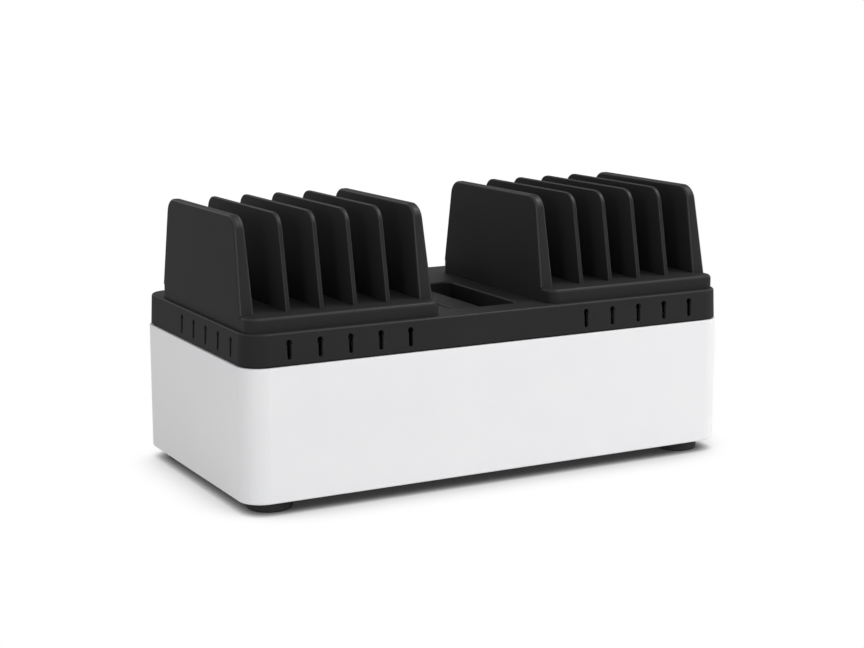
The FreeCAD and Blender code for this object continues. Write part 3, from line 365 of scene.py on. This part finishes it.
# Two leads in black PVC sheaths run down from the terminal cover, through the clip and into the strips.
# Extruded PVC is smooth along the lead, with a dull shine.
sheath_black = "#1A1A1A"
sheath_black_shade = "#212121"
lead_radius = 3.5 * millimetre
lead_route = ((8, 100.5, 66), (8, 100.5, 31), (8, 36, 31), (41, 36, 31))
pvc_sheath = moulded_plastic("extruded_pvc", sheath_black, sheath_black_shade, grain=3 * millimetre,
                             roughness=0.48, ior=1.53, relief=0.15)
for hand, side in (("left", -1), ("right", 1)):
    lead_curve = bpy.data.curves.new(hand + "_lead_sheath", "CURVE")
    lead_curve.dimensions = "3D"
    lead_curve.bevel_depth = lead_radius
    lead_curve.bevel_resolution = 6
    lead_curve.use_fill_caps = True
    line = lead_curve.splines.new("NURBS")
    line.points.add(len(lead_route) - 1)
    for point, (x, y, z) in zip(line.points, lead_route):
        point.co = (side * x * millimetre, y * millimetre, z * millimetre, 1.0)
    line.order_u = 3
    line.use_endpoint_u = True
    line.resolution_u = 16
    lead_curve.materials.append(pvc_sheath)
    sheath = bpy.data.objects.new(hand + "_lead_sheath", lead_curve)
    bpy.context.scene.collection.objects.link(sheath)
    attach(sheath, "base")
    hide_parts(hand + "_lead")

# The lid is black injection-moulded ABS, dry and matt on its textured faces and smoother on its rounded
# edges. It drops over the tub's rim and carries the cable slots, the rack seats and the hand well.
lid_black = "#2A2A2B"
lid_black_shade = "#262627"
black_abs = moulded_plastic("moulded_black_abs", lid_black, lid_black_shade, mould_grain,
                            roughness=0.62, ior=1.53, relief=0.2, shine=0.05, polish=0.25, corners=False)
dress(black_abs, "lid_cover")

# The hand well is a cup with a flange that is screwed up under the lid's deck, and the bar across it, by
# which the lid is lifted, is screwed through its ends. Both are moulded of the lid's black ABS.
dress(black_abs, "hand_well", "grip_bar")
pan_head_screws("lid_screws", "lid")

# Each rack is an upturned tray of black ABS with two hollow end walls screwed on and four dividers
# pressed into slots. A plate with soft rubber pads closes it below, so that it doesn't slide on the lid.
rack_abs = moulded_plastic("moulded_black_abs_of_racks", lid_black, lid_black_shade, mould_grain,
                           roughness=0.62, ior=1.53, relief=0.2, shine=0.05, polish=0.4)
for hand in ("left", "right"):
    rack = hand + "_tray_"
    dress(black_abs, rack + "base", rack + "bottom")
    dress(rack_abs, rack + "inner_wall", rack + "outer_wall")
    dress(rack_abs, *[rack + "divider_" + str(number) for number in range(1, 5)])
    dress(black_rubber, rack + "pads")
    pan_head_screws(rack + "screws", hand + "_tray")

# The studio is a pale painted floor under a white surround, lit by large soft lamps.
# To the camera and in reflections both are plain white, but for a painted soft shadow where the station
# closes
# the floor in: the floor's glow is painted dark where hardly any of it is open to the room, and white where
# most of it is.
floor_size = 12.0
floor_white = "#F2F2F2"
shadow_reach = 75 * millimetre
shadow_dark = 0.03
closed_floor = 0.05
open_floor = 0.8
surround_level = 0.55


def seen_straight(tree):
    """1 for rays from the camera, a shiny surface or clear plastic, and 0 for those that carry light."""
    path = add_node(tree, "ShaderNodeLightPath")
    straight = add_node(tree, "ShaderNodeMath", {"operation": "MAXIMUM"},
                        links={0: path.outputs["Is Camera Ray"], 1: path.outputs["Is Glossy Ray"]})
    clear = add_node(tree, "ShaderNodeMath", {"operation": "MAXIMUM"},
                     links={0: straight.outputs["Value"], 1: path.outputs["Is Transmission Ray"]})
    return clear.outputs["Value"]


floor_mesh = bmesh.new()
bmesh.ops.create_grid(floor_mesh, x_segments=1, y_segments=1, size=floor_size / 2)
floor_paint, floor_tree = new_material("painted_studio_floor")
openness = add_node(floor_tree, "ShaderNodeAmbientOcclusion", {"samples": 16}, {"Distance": shadow_reach})
painted_shadow = add_node(floor_tree, "ShaderNodeMapRange", {"interpolation_type": "SMOOTHSTEP"},
                  {"From Min": closed_floor, "From Max": open_floor, "To Min": shadow_dark, "To Max": 1.0},
                  {"Value": openness.outputs["AO"]})
# The floor's white glow carries the painted shadow: it is darker where the floor is closed in, whatever the
# lamps do.
white = add_node(floor_tree, "ShaderNodeEmission", links={"Strength": painted_shadow.outputs["Result"]})
paint = add_node(floor_tree, "ShaderNodeBsdfDiffuse", values={"Color": linear(floor_white)})
floor_look = add_node(floor_tree, "ShaderNodeMixShader",
                      links={0: seen_straight(floor_tree), 1: paint.outputs["BSDF"],
                             2: white.outputs["Emission"]})
add_node(floor_tree, "ShaderNodeOutputMaterial", links={"Surface": floor_look.outputs["Shader"]})
add_piece("studio_floor", floor_mesh, floor_paint)

surround = bpy.data.worlds.new("studio_surround")
surround.use_nodes = True
surround.node_tree.nodes.clear()
level = add_node(surround.node_tree, "ShaderNodeMapRange", values={"To Min": surround_level, "To Max": 1.0},
                 links={"Value": seen_straight(surround.node_tree)})
sky = add_node(surround.node_tree, "ShaderNodeBackground", values={"Color": (1.0, 1.0, 1.0, 1.0)},
               links={"Strength": level.outputs["Result"]})
add_node(surround.node_tree, "ShaderNodeOutputWorld", links={"Surface": sky.outputs["Background"]})
bpy.context.scene.world = surround


def softbox(name, place, target, size, power):
    """Square soft lamp aimed at a point."""
    lamp = bpy.data.lights.new(name, "AREA")
    lamp.energy = power
    lamp.size = size
    holder = bpy.data.objects.new(name, lamp)
    holder.location = place
    holder.rotation_euler = (Vector(target) - Vector(place)).to_track_quat("-Z", "Y").to_euler()
    bpy.context.scene.collection.objects.link(holder)


station_middle = (0, 0, 0.15)
softbox("key_softbox", place=(0.9, -1.9, 1.5), target=(0, 0, 0.1), size=1.2, power=18)
softbox("left_softbox", place=(-1.4, -1.2, 0.5), target=station_middle, size=0.25, power=4)
softbox("right_softbox", place=(1.7, -0.4, 0.3), target=station_middle, size=0.25, power=3)
softbox("top_softbox", place=(0.8, -0.3, 1.6), target=station_middle, size=0.4, power=8)

# The camera stands where the photograph was taken from: left of the middle and a little above the lid.
# Its focal length, place, turn and tilt were worked out from the station's straight edges.
picture_width = 864
focal_pixels = 1820.74
camera_place = Vector((-0.8217, -1.5151, 0.4628))
camera_yaw = math.radians(28.374)
camera_pitch = math.radians(11.047)
sight = Vector((math.sin(camera_yaw) * math.cos(camera_pitch), math.cos(camera_yaw) * math.cos(camera_pitch),
                -math.sin(camera_pitch)))
camera_data = bpy.data.cameras.new("camera")
camera_data.sensor_width = 36.0
camera_data.sensor_fit = "HORIZONTAL"
camera_data.lens = focal_pixels / picture_width * camera_data.sensor_width
camera = bpy.data.objects.new("camera", camera_data)
camera.location = camera_place
camera.rotation_euler = sight.to_track_quat("-Z", "Y").to_euler()
bpy.context.scene.collection.objects.link(camera)
bpy.context.scene.camera = camera
bpy.context.scene.view_settings.view_transform = "Standard"
